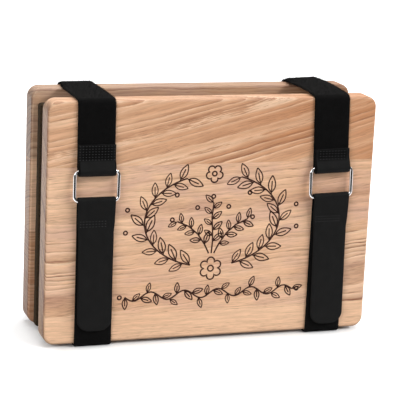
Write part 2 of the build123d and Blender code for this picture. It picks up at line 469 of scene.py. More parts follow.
def startTree(name, floats, **others):
    tree = bpy.data.node_groups.new(name, "GeometryNodeTree")
    sizes = dict.fromkeys(floats.split(), "Float")
    kinds = {"Geometry": "Geometry", **sizes, **others, "Material": "Material"}
    for key, kind in kinds.items():
        tree.interface.new_socket(key, in_out="INPUT", socket_type="NodeSocket" + kind)
    tree.interface.new_socket("Geometry", in_out="OUTPUT", socket_type="NodeSocketGeometry")
    return tree, node(tree, "NodeGroupInput").outputs


def endTree(tree, geometry, material):
    real = node(tree, "GeometryNodeRealizeInstances", {0: geometry}).outputs[0]
    painted = node(tree, "GeometryNodeSetMaterial", {"Geometry": real, "Material": material}).outputs[0]
    node(tree, "NodeGroupOutput", {0: painted})
    return tree


def grow(name, tree, data=None, **values):
    # Runs a tree on a mesh or curve and keeps the result as a plain mesh
    host = addObject(name + "_host", data or bpy.data.meshes.new(name))
    modifier = host.modifiers.new("grow", "NODES")
    modifier.node_group = tree
    for item in tree.interface.items_tree:
        if item.in_out == "INPUT" and item.name in values:
            modifier[item.identifier] = values[item.name]
    graph = bpy.context.evaluated_depsgraph_get()
    mesh = bpy.data.meshes.new_from_object(host.evaluated_get(graph))
    mesh.name = name
    host.modifiers.remove(modifier)
    bpy.data.objects.remove(host)
    return addObject(name, mesh)


def moved(tree, geometry, at, turn=(0, 0, 0)):
    inputs = {"Geometry": geometry, "Translation": at, "Rotation": turn}
    return node(tree, "GeometryNodeTransform", inputs).outputs[0]


def upright(tree, geometry, centre):
    # From the drawing plane to the front of the press, then to its place
    return moved(tree, geometry, centre, (math.pi / 2, 0, 0))


def joined(tree, *parts):
    made = node(tree, "GeometryNodeJoinGeometry")
    for part in parts:
        tree.links.new(part, made.inputs[0])
    return made.outputs[0]


def smoothed(tree, geometry):
    return node(tree, "GeometryNodeSetShadeSmooth", {"Geometry": geometry}).outputs[0]


def reshaped(tree, geometry, **how):
    return node(tree, "GeometryNodeSetPosition", {"Geometry": geometry, **how}).outputs[0]


def rectangle(tree, width, height):
    inputs = {"Width": width, "Height": height}
    return node(tree, "GeometryNodeCurvePrimitiveQuadrilateral", inputs).outputs[0]


def swept(tree, curve, profile):
    inputs = {"Curve": curve, "Profile Curve": profile, "Fill Caps": True}
    return node(tree, "GeometryNodeCurveToMesh", inputs).outputs[0]


def repeated(tree, item, points, rotation, scale=(1, 1, 1)):
    inputs = {"Points": points, "Instance": item, "Rotation": rotation, "Scale": scale}
    return node(tree, "GeometryNodeInstanceOnPoints", inputs).outputs[0]


def between(tree, low, high, seed):
    inputs = {2: low, 3: high, "Seed": seed}
    return node(tree, "FunctionNodeRandomValue", inputs, data_type="FLOAT").outputs[1]


def addMesh(name, verts, faces, materials, smooth=True):
    mesh = bpy.data.meshes.new(name)
    mesh.from_pydata(verts, [], faces)
    shaped = bmesh.new()
    shaped.from_mesh(mesh)
    bmesh.ops.recalc_face_normals(shaped, faces=shaped.faces)
    shaped.to_mesh(mesh)
    shaped.free()
    for material in materials:
        mesh.materials.append(material)
    mesh.polygons.foreach_set("use_smooth", [smooth] * len(mesh.polygons))
    return addObject(name, mesh)


def bands(rowCount, count):
    # Quads between rows of points that each go once round, with both ends closed
    faces = []
    last = (rowCount - 1) * count
    for low in range(0, last, count):
        for index in range(count):
            following = (index + 1) % count
            faces.append((low + index, low + following, low + count + following, low + count + index))
    return faces + [tuple(range(count)), tuple(range(last, last + count))]


def onCircle(centre, radius, angle):
    angle = math.radians(angle)
    return (centre[0] + radius * math.cos(angle), centre[1] + radius * math.sin(angle))


def roundedOutline(halfX, halfZ, topBend, lowBend, parts):
    # Each spot with the way it faces
    outline = []
    for quarter, (right, up) in enumerate([(1, 1), (-1, 1), (-1, -1), (1, -1)]):
        bend = topBend if up > 0 else lowBend
        centre = (right * (halfX - bend), up * (halfZ - bend))
        for part in range(parts + 1):
            angle = 90 * quarter + 90 * part / parts
            outline.append((onCircle(centre, bend, angle), onCircle((0, 0), 1, angle)))
    return outline


# Wire rings. Where one sits askew, the tape near it follows, and further off less and less.
ringForm = {
    "wire": 2.65,
    "barSpacing": 21.5,
    "width": 32.3,
    "bend": 3.3,
    "followNear": 15.0,
    "followFade": 35.0,
}


def ringTree():
    tree, given = startTree("wire_ring", "Width Height Bend Wire", Centre="Vector")
    box = rectangle(tree, given["Width"], given["Height"])
    inputs = {"Curve": box, "Count": 12, "Radius": given["Bend"]}
    bent = node(tree, "GeometryNodeFilletCurve", inputs, mode="POLY").outputs[0]
    inputs = {"Resolution": 20, "Radius": given["Wire"]}
    section = node(tree, "GeometryNodeCurvePrimitiveCircle", inputs).outputs[0]
    wire = smoothed(tree, swept(tree, bent, section))
    return endTree(tree, upright(tree, wire, given["Centre"]), given["Material"])


def cardTree():
    tree, given = startTree("corrugated_card", "Width Height Thickness Liner Paper Pitch", Centre="Vector")
    steps = product(tree, calc(tree, "DIVIDE", given["Width"], given["Pitch"]), 12.0)
    sizes = {"Size X": given["Width"], "Size Y": given["Height"], "Vertices X": steps, "Vertices Y": 2}
    flat = node(tree, "GeometryNodeMeshGrid", sizes).outputs[0]
    x, y = axes(tree, node(tree, "GeometryNodeInputPosition").outputs[0])[:2]
    turn = product(tree, calc(tree, "DIVIDE", x, given["Pitch"]), 2 * math.pi)
    room = calc(tree, "SUBTRACT", product(tree, given["Thickness"], 0.5), given["Liner"])
    swing = calc(tree, "SUBTRACT", room, product(tree, given["Paper"], 0.55))
    wave = reshaped(tree, flat, Position=combine(tree, x, product(tree, calc(tree, "SINE", turn), swing), y))
    # The paper's thickness goes half to each side of the wave
    inward = product(tree, given["Paper"], -0.5)
    wave = reshaped(tree, wave, Offset=scaled(tree, node(tree, "GeometryNodeInputNormal").outputs[0], inward))
    thick = {"Mesh": wave, "Offset Scale": given["Paper"], "Individual": False}
    raised = node(tree, "GeometryNodeExtrudeMesh", thick, mode="FACES").outputs[0]
    under = node(tree, "GeometryNodeFlipFaces", {0: wave}).outputs[0]
    closing = {"Geometry": joined(tree, raised, under), "Distance": 1e-6}
    fluting = node(tree, "GeometryNodeMergeByDistance", closing).outputs[0]
    size = combine(tree, given["Width"], given["Liner"], given["Height"])
    liner = node(tree, "GeometryNodeMeshCube", {"Size": size}).outputs[0]
    away = calc(tree, "ADD", room, product(tree, given["Liner"], 0.5))
    liners = [moved(tree, liner, combine(tree, 0.0, product(tree, away, side), 0.0)) for side in (1.0, -1.0)]
    sheets = joined(tree, fluting, *liners)
    return endTree(tree, moved(tree, sheets, given["Centre"]), given["Material"])


corrugated = cardTree()
cardCount = sum(nodeName.startswith("divider") for nodeName in frame["nodes"])
for index in range(cardCount):
    low, high = [Vector(corner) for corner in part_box(f"divider_{index + 1}")]
    divider = grow(
        f"card_{index + 1}",
        corrugated,
        Width=high.x - low.x,
        Height=high.z - low.z,
        Thickness=high.y - low.y,
        Liner=cardForm["liner"] / 1000,
        Paper=cardForm["paper"] / 1000,
        Pitch=cardForm["pitch"] / 1000,
        Centre=(low + high) / 2,
        Material=card,
    )
    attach(divider, bodyOf(f"divider_{index + 1}"))
    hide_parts(f"divider_{index + 1}")
print("corrugated dividers grown")


# Foam pads: their cut sides swell a little where the boards squeeze them
padForm = {"corner": 2.5, "swell": 0.5, "ease": 0.5, "rough": 0.12, "step": 4.0}


def foamPad(name, nodeName):
    low, high = boxOf(nodeName)
    midX, midY, midZ = [(low[axis] + high[axis]) / 2 for axis in range(3)]
    halfX, halfY, halfZ = [(high[axis] - low[axis]) / 2 for axis in range(3)]
    chance = random.Random(len(nodeName))
    swell, corner = padForm["swell"], padForm["corner"]
    outline = roundedOutline(halfX, halfZ, corner, corner, 6)
    ring = []
    for index, (spot, facing) in enumerate(outline):
        ring.append((spot, facing))
        following = outline[(index + 1) % len(outline)][0]
        steps = int(math.dist(spot, following) / padForm["step"])
        for step in range(1, steps):
            share = step / steps
            ring.append(([start + share * (end - start) for start, end in zip(spot, following)], facing))
    levels = [-1.0, -0.96, -0.8, -0.4, 0.0, 0.4, 0.8, 0.96, 1.0]
    verts = []
    for level in levels:
        out = swell * (1 - level * level) - padForm["ease"] * abs(level) ** 12 - swell * 0.5
        y = midY + level * halfY
        for spot, facing in ring:
            push = out + chance.uniform(-1, 1) * padForm["rough"]
            verts.append(metres(midX + spot[0] + facing[0] * push, y, midZ + spot[1] + facing[1] * push))
    pad = addMesh(name, verts, bands(len(levels), len(ring)), [foam])
    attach(pad, bodyOf(nodeName))
    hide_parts(nodeName)


foamPad("rear_foam", "rear_foam_pad")
foamPad("front_foam", "front_foam_pad")
print("foam pads shaped")

# Straps, drawn in the side view as (y, z) in millimetres
strapForm = {
    "width": 27.7,
    "thickness": 2.2,
    "pressed": 0.06,
    "bendRelief": 0.3,
    "boardEdge": 2.0,
    "loopRadius": 1.55,
    "settle": 8.0,
    "foldGap": 0.6,
    "selvedge": 1.5,
}
tailForm = {
    "thickness": 1.2,
    "tipRadius": 9.0,
    "settle": 14.0,
    "innerGap": 1.0,
    "riser": 45.0,
    "thinFrom": 9.0,
    "thinOver": 6.0,
    "narrow": 0.9,
    "narrowFrom": 16.0,
    "narrowOver": 8.0,
}
# Wear at the rear board's top: how far it reaches ahead of that board and down its back, and from which share
# of the tape's half width the edge is thinned, by how much
wearForm = {"ahead": 8.0, "down": 12.0, "slackDown": 25.0, "thinFrom": 0.66, "thinned": 0.9}
# Neither strap hangs quite plumb: drift is how far it strays sideways at some heights. Sewn is the flap's
# length, with its rows and columns of stitches. Swell, slack, fray and tuck are how the tape lies over the top.
sides = {
    "left": {
        "sewn": 19.0,
        "swell": 0.4,
        "rows": 6,
        "columns": 12,
        "across": 2.3,
        "seam": (0.0, 11.5),
        "drift": [(0, 0.75), (80, 0.4), (130, -0.3), (182, -0.8)],
        "tailLean": 0.3,
        "tilt": 0.0,
        "ringShift": 0.0,
        "slack": 0.2,
        "fray": 1.6,
        "tuck": 1.8,
    },
    "right": {
        "sewn": 14.4,
        "swell": 1.6,
        "rows": 4,
        "columns": 9,
        "across": 2.4,
        "seam": (0.0, 8.6),
        "drift": [(0, 1.0), (100, 1.1), (128, 0.2), (182, -1.5)],
        "tailLean": 1.9,
        "tilt": 1.45,
        "ringShift": -0.4,
        "slack": 1.1,
        "fray": 2.2,
        "tuck": 0.0,
    },
}
barY = frontFace - strapForm["thickness"] - strapForm["loopRadius"]


def driftAt(form, z):
    points = form["drift"]
    for (lowZ, low), (highZ, high) in zip(points, points[1:]):
        if z <= highZ:
            return low + (high - low) * max(0.0, z - lowZ) / (highZ - lowZ)
    return points[-1][1]


def strapPlace(form, z):
    return form["x"] + driftAt(form, z)


def tailPlace(form, z):
    # Centre line of the tail, which leans a little more than the strap below it
    share = max(0.0, (form["lower"] - z) / form["tail"])
    return strapPlace(form, z) + form["tailLean"] * share


def tipUp(form, z, sideways):
    far = max(form["lower"] - z, z - form["upper"], ringForm["followNear"]) - ringForm["followNear"]
    return sideways * math.tan(math.radians(form["tilt"])) * max(0.0, 1 - far / ringForm["followFade"])


def nearBack(y):
    return clamp((y - rearFront + wearForm["ahead"]) / (backFace - rearFront))


def nearTop(z, reach):
    return clamp(1 - (boardTop - z) / reach)


def slackAt(form, y, z, share):
    # The tape stands a little proud of the rear board's top edge, most of all at its right edge
    back = max(0.0, (y - frontBack) / (backFace - frontBack))
    return form["slack"] * back * nearTop(z, wearForm["slackDown"]) * (1 + share) / 2


def wornThin(y, z, share):
    # Handling has thinned the left edge where it turns over the rear board's top
    inside = wearForm["thinFrom"]
    worn = nearBack(y) * nearTop(z, wearForm["down"])
    return wearForm["thinned"] * worn * max(0.0, -share - inside) / (1 - inside)


def foldTop(form):
    return form["upper"] + strapForm["settle"] + strapForm["foldGap"]


def straight(path, target, step=2.0):
    start = path[-1]
    count = max(1, round(math.dist(start, target) / step))
    for index in range(1, count + 1):
        share = index / count
        path.append((start[0] + share * (target[0] - start[0]), start[1] + share * (target[1] - start[1])))


def turnRound(path, centre, radius, start, end, step=10.0):
    count = max(2, round(abs(end - start) / step))
    for index in range(count + 1):
        spot = onCircle(centre, radius, start + (end - start) * index / count)
        if math.dist(spot, path[-1]) > 0.05:
            path.append(spot)


def loopPath(form):
    # From the sewn flap round the ring's upper bar, up, over, down the back and up the front again
    half = strapForm["thickness"] / 2
    ease = strapForm["boardEdge"] - strapForm["bendRelief"]
    wire = (barY, form["upper"])
    lean = 2 * math.degrees(math.atan2(strapForm["loopRadius"], strapForm["settle"]))
    flapY = frontFace - 3 * half
    path = [(flapY, form["upper"] + form["sewn"])]
    straight(path, (flapY, foldTop(form)))
    straight(path, onCircle(wire, strapForm["loopRadius"] + half, 180 - lean))
    turnRound(path, wire, strapForm["loopRadius"] + half, 180 - lean, 360, 12)
    straight(path, (frontFace - half, boardTop - ease))
    turnRound(path, (frontFace + ease, boardTop - ease), ease + half, 180, 90)
    rise = len(path)
    straight(path, (backFace - ease, boardTop + half))
    for index in range(rise, len(path)):
        share = (path[index][0] - frontFace) / (backFace - frontFace)
        path[index] = (path[index][0], path[index][1] + form["swell"] * math.sin(math.pi * share) ** 0.8)
    turnRound(path, (backFace - ease, boardTop - ease), ease + half, 90, 0)
    straight(path, (backFace + half, boardBottom + ease))
    turnRound(path, (backFace - ease, boardBottom + ease), ease + half, 0, -90)
    straight(path, (frontFace + ease, boardBottom - half))
    turnRound(path, (frontFace + ease, boardBottom + ease), ease + half, 270, 180)
    straight(path, (frontFace - half, form["lower"] - tailForm["riser"]))
    return path


def riserStations(form):
    # The last of the pile tape, behind the tail, and the thinner tape that goes up behind the lower bar
    half, thin = strapForm["thickness"] / 2, tailForm["thickness"] / 2
    thickY, thinY = frontFace - half, barY + strapForm["loopRadius"] + thin
    thinFrom = form["lower"] - tailForm["thinFrom"]
    path = [(thickY, form["lower"] - tailForm["riser"])]
    straight(path, (thickY, thinFrom))
    stations = [(*spot, strapForm["width"] / 2, strapForm["thickness"]) for spot in path]
    steps = 6
    for index in range(1, steps + 1):
        share = index / steps
        thickness = strapForm["thickness"] + share * (tailForm["thickness"] - strapForm["thickness"])
        spot = (thickY + share * (thinY - thickY), thinFrom + tailForm["thinOver"] * share)
        stations.append((*spot, strapForm["width"] / 2, thickness))
    path = [stations[-1][:2]]
    straight(path, (thinY, form["lower"]))
    turnRound(path, (barY, form["lower"]), strapForm["loopRadius"] + thin, 0, 90, 12)
    return stations + [(*spot, strapForm["width"] / 2, tailForm["thickness"]) for spot in path[1:]]


def tailStations(form):
    # Over the lower bar and down the front to a rounded tip
    thin = tailForm["thickness"] / 2
    wire = (barY, form["lower"])
    radius = strapForm["loopRadius"]
    inner = frontFace - strapForm["thickness"] - tailForm["innerGap"]
    drop = (inner - barY, -tailForm["settle"])
    reach = math.sqrt(math.hypot(*drop) ** 2 - radius**2)
    end = math.degrees(math.atan2(drop[1], drop[0])) + 360 - math.degrees(math.atan2(reach, radius))
    path = [onCircle(wire, radius + thin, 90)]
    turnRound(path, wire, radius + thin, 90, end, 12)
    tip, tipRadius = form["lower"] - form["tail"], tailForm["tipRadius"]
    straight(path, (inner - thin, form["lower"] - tailForm["settle"]))
    straight(path, (inner - thin, tip + tipRadius))
    # Closer and closer rows round the tip, which stop just short of its end
    for angle in [7.4 * index for index in range(1, 13)]:
        path.append((inner - thin, tip + tipRadius * (1 - math.sin(math.radians(angle)))))
    stations = []
    for spot in path:
        short = max(0.0, tipRadius - (spot[1] - tip)) if spot[0] < barY else 0.0
        trim = tipRadius - math.sqrt(max(0.0, tipRadius**2 - short**2))
        below = form["lower"] - tailForm["narrowFrom"] - spot[1]
        trim += tailForm["narrow"] * clamp(below / tailForm["narrowOver"])
        stations.append((*spot, strapForm["width"] / 2 - trim, tailForm["thickness"]))
    return stations


def layTape(name, form, stations, placeAt, materials, pileAt=None, sewnAt=None):
    # Lofts the tape: the first face looks to the left of the path, the second to its right
    verts, places, lengths, sewn = [], [], [], []
    chance = random.Random(11)
    along, across = 0.0, 12
    rim = [onCircle((0, 0), 1, angle) for angle in (50, 18, -18, -50)]
    count = 2 * (across + 1 + len(rim))
    for index, (y, z, half, thickness) in enumerate(stations):
        before, after = stations[max(index - 1, 0)], stations[min(index + 1, len(stations) - 1)]
        heading = Vector((after[0] - before[0], after[1] - before[1])).normalized()
        side = (-heading.y, heading.x)
        if index:
            along += math.dist((y, z), stations[index - 1][:2])
        edge = thickness / 2
        flat = half - edge
        x = placeAt(form, z)
        # The left edge is frayed where it crosses the top of the rear board
        fray = form["fray"] * nearBack(y) * chance.random() if z > boardTop - 1 else 0.0
        fray += form["tuck"] * nearBack(y) * nearTop(z, wearForm["down"])
        section = [(flat * (2 * step / across - 1), 1.0) for step in range(across + 1)]
        section += [(flat + edge * out, up) for out, up in rim]
        section += [(flat * (1 - 2 * step / across), -1.0) for step in range(across + 1)]
        section += [(-flat - edge * out, up) for out, up in reversed(rim)]
        around = 0.0
        for step, (sideways, through) in enumerate(section):
            sideways += fray * max(0.0, -sideways / half)
            if step:
                last = section[step - 1]
                around += math.dist((sideways, through * edge), (last[0], last[1] * edge))
            share = sideways / half
            lift = tipUp(form, z, sideways) if y < frontFace else slackAt(form, y, z, share)
            outward = edge * (through - wornThin(y, z, share) * (1 + through))
            verts.append(metres(x + sideways, y + side[0] * outward, z + lift + side[1] * outward))
            places += (around, along, through)
            lengths.append(pileAt(index, y, z, share) if pileAt and through > -0.5 else 0.0)
            inside = abs(sideways) < half - strapForm["selvedge"]
            sewn.append(sewnAt(along) if sewnAt and inside else 0.0)
    tape = addMesh(name, verts, bands(len(stations), count), materials)
    for key, kind, field, values in (
        ("tapePlace", "FLOAT_VECTOR", "vector", places),
        ("pileLength", "FLOAT", "value", lengths),
        ("sewn", "FLOAT", "value", sewn),
    ):
        tape.data.attributes.new(key, kind, "POINT").data.foreach_set(field, values)
    if len(materials) > 1:
        # The second face has the second material
        first = across + 1 + len(rim)
        slots = [int(first <= step < first + across) for step in range(count)]
        tape.data.polygons.foreach_set("material_index", slots * (len(stations) - 1) + [0, 0])
    return tape, along / 1000


# Loops of pile that stand off the straps
pileForm = {
    "density": 1.1e6,
    "length": 0.0011,
    "root": 0.00013,
    "seed": 5,
    "underTail": 0.25,
    "pastTip": 3.0,
    "ragFrom": 0.7,
    "ragged": 4.0,
}


def pileTree():
    tree, given = startTree("tape_pile", "Density Length Root", Seed="Int")
    named = {"Name": "pileLength"}
    grown = node(tree, "GeometryNodeInputNamedAttribute", named, data_type="FLOAT").outputs[0]
    density = product(tree, grown, given["Density"])
    inputs = {"Mesh": given["Geometry"], "Density": density, "Seed": given["Seed"]}
    spread = node(tree, "GeometryNodeDistributePointsOnFaces", inputs)
    sizes = {
        "Vertices": 3,
        "Side Segments": 2,
        "Radius Top": 0.00003,
        "Radius Bottom": given["Root"],
        "Depth": given["Length"],
    }
    strand = node(tree, "GeometryNodeMeshCone", sizes, fill_type="NONE").outputs[0]
    height = axes(tree, node(tree, "GeometryNodeInputPosition").outputs[0])[2]
    share = calc(tree, "DIVIDE", height, given["Length"])
    bend = product(tree, product(tree, share, share), product(tree, given["Length"], 0.55))
    strand = reshaped(tree, strand, Offset=combine(tree, bend))
    lean = {0: (-0.7, -0.7, -3.14), 1: (0.7, 0.7, 3.14), "Seed": 2}
    tip = node(tree, "FunctionNodeRandomValue", lean, data_type="FLOAT_VECTOR").outputs[0]
    turn = {"Rotation": spread.outputs["Rotation"], "Rotate By": tip}
    turned = node(tree, "FunctionNodeRotateRotation", turn, rotation_space="LOCAL").outputs[0]
    size = product(tree, between(tree, 0.45, 1.0, 3), grown)
    strands = repeated(tree, strand, spread.outputs[0], turned, combine(tree, size, size, size))
    return endTree(tree, smoothed(tree, strands), given["Material"])


# Rows of one small thing: stitches, or hooks
def rowsTree():
    kinds = {"Item": "Object", "Columns": "Int", "Rows": "Int", "Centre": "Vector"}
    tree, given = startTree("rows", "Across Down Wobble Turn", **kinds)
    wide = product(tree, calc(tree, "SUBTRACT", given["Columns"], 1.0), given["Across"])
    tall = product(tree, calc(tree, "SUBTRACT", given["Rows"], 1.0), given["Down"])
    sizes = {"Size X": wide, "Size Y": tall, "Vertices X": given["Columns"], "Vertices Y": given["Rows"]}
    points = node(tree, "GeometryNodeMeshGrid", sizes).outputs[0]
    item = node(tree, "GeometryNodeObjectInfo", {"Object": given["Item"]}).outputs["Geometry"]
    number = node(tree, "GeometryNodeInputIndex").outputs[0]
    odd = calc(tree, "MODULO", calc(tree, "FLOOR", calc(tree, "DIVIDE", number, given["Rows"])), 2.0)
    wobble = product(tree, between(tree, -1.0, 1.0, 7), given["Wobble"])
    angle = calc(tree, "MULTIPLY_ADD", odd, given["Turn"], wobble)
    items = repeated(tree, item, points, combine(tree, 0.0, 0.0, angle))
    return endTree(tree, upright(tree, items, given["Centre"]), given["Material"])


def bentWire(name, points, radius, sides):
    # A short curved thread or hook, as a small mesh to repeat
    curve = bpy.data.curves.new(name, "CURVE")
    curve.dimensions = "3D"
    spline = curve.splines.new("NURBS")
    spline.points.add(len(points) - 1)
    for index, spot in enumerate(points):
        spline.points[index].co = (*metres(*spot), 1)
    spline.order_u = 3
    spline.use_endpoint_u = True
    spline.resolution_u = 2
    curve.bevel_depth = radius / 1000
    curve.bevel_resolution = sides
    curve.use_fill_caps = True
    held = addObject(name, curve)
    mesh = bpy.data.meshes.new_from_object(held)
    bpy.data.objects.remove(held)
    mesh.polygons.foreach_set("use_smooth", [True] * len(mesh.polygons))
    return addObject(name, mesh)


stitchForm = {"down": 1.95, "length": 0.85, "thread": 0.22, "rideOut": 0.38}
tailSeam = {"below": 17.0, "left": 2.5, "columns": 9, "rows": 3, "across": 2.3}
hookForm = {
    "across": 1.15,
    "down": 1.05,
    "base": 0.25,
    "tall": 0.45,
    "wire": 0.09,
    "sideMargin": 1.2,
    "endMargin": 9.0,
    "raised": 3.0,
    "halfWidth": 12.0,
    "tipBend": 7.0,
    "topBend": 0.6,
}
rings, tufts, rows = ringTree(), pileTree(), rowsTree()
reach, tall = stitchForm["length"] / 2, hookForm["tall"]
stitchPath = [(-reach, 0, -0.15), (-reach * 0.8, 0, 0.15), (reach * 0.8, 0, 0.15), (reach, 0, -0.15)]
stitchItem = bentWire("stitch", stitchPath, stitchForm["thread"], 0)
hookPath = [(0, 0, -0.05), (0, 0, tall), (0, 0.3, tall), (0, 0.38, tall * 0.5)]
hookItem = bentWire("hook", hookPath, hookForm["wire"], 0)


def stitches(name, body, centre, seam):
    sewn = grow(
        name,
        rows,
        Item=stitchItem,
        Columns=seam["columns"],
        Rows=seam["rows"],
        Across=seam["across"] / 1000,
        Down=stitchForm["down"] / 1000,
        Wobble=0.1,
        Turn=0.0,
        Centre=centre,
        Material=thread,
    )
    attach(sewn, body)
    return sewn


for name, form in sides.items():
    low, high = boxOf(f"{name}_ring")
    form["x"] = (low[0] + high[0]) / 2
    form["upper"] = (low[2] + high[2] + ringForm["barSpacing"]) / 2
    form["lower"] = (low[2] + high[2] - ringForm["barSpacing"]) / 2
    lower = form["lower"]
    tipZ = boxOf(f"{name}_tail")[0][2]
    form["tail"] = lower - tipZ
    x = strapPlace(form, (lower + form["upper"]) / 2)
    width = strapForm["width"]
    path = loopPath(form)
    flapTop = form["upper"] + form["sewn"]
    flapEnds = next(index for index, spot in enumerate(path) if spot[0] > barY and spot[1] > flapTop)

    def loopPile(index, y, z, share):
        if index < flapEnds or z < boardBottom:
            return 0.0
        if z > boardTop:
            # Ragged where the cut edge rubs on the rear board
            return 1.0 + max(0.0, -pileForm["ragFrom"] - share) * pileForm["ragged"] * nearBack(y)
        covered = y < frontFace and tipZ - pileForm["pastTip"] < z < lower
        return pileForm["underTail"] if covered else 1.0

    def flapSewn(along):
        return 1.0 if form["seam"][0] <= along <= form["seam"][1] else 0.0

    # The long run, which stretches where it crosses from board to board
    stations = [(*spot, width / 2, strapForm["thickness"] - strapForm["pressed"]) for spot in path]
    strap, length = layTape(
        f"{name}_strap", form, stations, strapPlace, [pile, woven], pileAt=loopPile, sewnAt=flapSewn
    )
    fuzz = grow(
        f"{name}_strap_pile",
        tufts,
        strap.data.copy(),
        Density=pileForm["density"],
        Length=pileForm["length"],
        Root=pileForm["root"],
        Seed=pileForm["seed"],
        Material=pile,
    )
    for piece in (strap, fuzz):
        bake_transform(piece)
    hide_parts(f"{name}_strap_back", f"{name}_strap_upper", f"{name}_strap_lower")

    # The end that goes up behind the ring's lower bar
    riser, length = layTape(f"{name}_strap_riser", form, riserStations(form), strapPlace, [pile, woven])
    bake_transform(riser)

    # The tail, folded over the lower bar
    tail, length = layTape(f"{name}_tail_tape", form, tailStations(form), tailPlace, [woven])
    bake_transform(tail)
    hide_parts(f"{name}_tail")

    # The wire ring
    wire = grow(
        f"{name}_wire_ring",
        rings,
        Width=ringForm["width"] / 1000,
        Height=ringForm["barSpacing"] / 1000,
        Bend=ringForm["bend"] / 1000,
        Wire=ringForm["wire"] / 2000,
        Centre=(0, 0, 0),
        Material=chrome,
    )
    askew = Matrix.Rotation(math.radians(-form["tilt"]), 4, "Y")
    ringAt = metres(x + form["ringShift"], barY, (form["upper"] + lower) / 2)
    wire.data.transform(Matrix.Translation(ringAt) @ askew)
    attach(wire, f"{name}_ring")
    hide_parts(f"{name}_ring")

    # Seams
    flapFace = frontFace - 2 * strapForm["thickness"] + strapForm["pressed"] / 2
    seamZ = flapTop - sum(form["seam"]) / 2
    seamX = strapPlace(form, seamZ)
    flapSeam = stitches(f"{name}_flap_stitches", "front", metres(seamX, flapFace, seamZ), form)
    # The lowest rows ride out over the ring's upper bar with the flap
    for vertex in flapSeam.data.vertices:
        vertex.co.y -= stitchForm["rideOut"] * max(0.0, foldTop(form) / 1000 - vertex.co.z)
    tailFace = frontFace - strapForm["thickness"] - tailForm["innerGap"] - tailForm["thickness"]
    seamZ = lower - tailSeam["below"]
    seamX = tailPlace(form, seamZ) - tailSeam["left"]
    stitches(f"{name}_tail_stitches", f"{name}_tail", metres(seamX, tailFace, seamZ), tailSeam)

    # Hooks under the tail
    low, high = boxOf(f"{name}_hook_patch")
    middle, halfTall = (low[2] + high[2]) / 2, (high[2] - low[2]) / 2
    hooks = grow(
        f"{name}_hooks",
        rows,
        Item=hookItem,
        Columns=int((high[0] - low[0] - hookForm["sideMargin"]) / hookForm["across"]),
        Rows=int((high[2] - low[2] - hookForm["endMargin"]) / hookForm["down"]),
        Across=hookForm["across"] / 1000,
        Down=hookForm["down"] / 1000,
        Wobble=0.15,
        Turn=math.pi,
        Centre=(0, 0, 0),
        Material=hookPlastic,
    )
    hooksAt = metres(0, low[1] + hookForm["base"], middle + hookForm["raised"])
    hooks.data.transform(Matrix.Translation(hooksAt) @ Matrix.Rotation(math.pi, 4, "Z"))
    for vertex in hooks.data.vertices:
        vertex.co.x += tailPlace(form, 1000 * vertex.co.z) / 1000
    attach(hooks, f"{name}_tail")
    outline = roundedOutline(hookForm["halfWidth"], halfTall, hookForm["topBend"], hookForm["tipBend"], 7)
    verts = []
    for y in (low[1], low[1] + hookForm["base"]):
        for spot, facing in outline:
            verts.append(metres(tailPlace(form, middle + spot[1]) + spot[0], y, middle + spot[1]))
    base = addMesh(f"{name}_hook_base", verts, bands(2, len(outline)), [hookPlastic], smooth=False)
    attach(base, f"{name}_tail")
    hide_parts(f"{name}_hook_patch")
    print(name, "strap, ring, tail and hooks made")

for item in (stitchItem, hookItem):
    bpy.data.objects.remove(item)

# Burnt decoration on the front board: a leafy wreath over a vine, drawn as (x, z) in millimetres
drawForm = {"line": 1.15, "fine": 0.9, "thick": 0.12, "proud": 0.04}


def strokes(name, lines):
    curve = bpy.data.curves.new(name, "CURVE")
    curve.dimensions = "3D"
    for points, closed in lines:
        spline = curve.splines.new("POLY")
        spline.points.add(len(points) - 1)
        for index, spot in enumerate(points):
            spline.points[index].co = (*metres(*spot), 0, 1)
        spline.use_cyclic_u = closed
    return curve


def lineTree():
    tree, given = startTree("burnt_line", "Line Thick", Centre="Vector")
    ribbon = swept(tree, given["Geometry"], rectangle(tree, given["Line"], given["Thick"]))
    return endTree(tree, upright(tree, ribbon, given["Centre"]), given["Material"])


def garlandTree():
    tree, given = startTree("leaf_garland", "Leaf Breadth Spread Line Thick", Count="Int", Centre="Vector")
    inputs = {"Curve": given["Geometry"], "Count": given["Count"]}
    points = node(tree, "GeometryNodeCurveToPoints", inputs, mode="COUNT")
    root = product(tree, given["Leaf"], 0.12)
    veins = []
    for bulge in (1.0, -1.0, 0.0):
        end = product(tree, given["Leaf"], 1.0 if bulge else 0.72)
        belly = combine(tree, product(tree, given["Leaf"], 0.45), product(tree, given["Breadth"], bulge))
        inputs = {"Resolution": 9, "Start": combine(tree, root), "Middle": belly, "End": combine(tree, end)}
        veins.append(node(tree, "GeometryNodeCurveQuadraticBezier", inputs).outputs[0])
    inputs = {"Start": (0, 0, 0), "End": combine(tree, root)}
    veins.append(node(tree, "GeometryNodeCurvePrimitiveLine", inputs).outputs[0])
    leaf = swept(tree, joined(tree, *veins), rectangle(tree, given["Line"], given["Thick"]))
    heading = axes(tree, points.outputs["Tangent"])
    bearing = calc(tree, "ARCTAN2", heading[1], heading[0])
    number = node(tree, "GeometryNodeInputIndex").outputs[0]
    hand = calc(tree, "MULTIPLY_ADD", calc(tree, "MODULO", number, 2.0), 2.0, -1.0)
    angle = calc(tree, "MULTIPLY_ADD", hand, given["Spread"], bearing)
    size = between(tree, 0.85, 1.12, 4)
    turn = combine(tree, 0.0, 0.0, angle)
    leaves = repeated(tree, leaf, points.outputs[0], turn, combine(tree, size, size, 1.0))
    return endTree(tree, upright(tree, leaves, given["Centre"]), given["Material"])


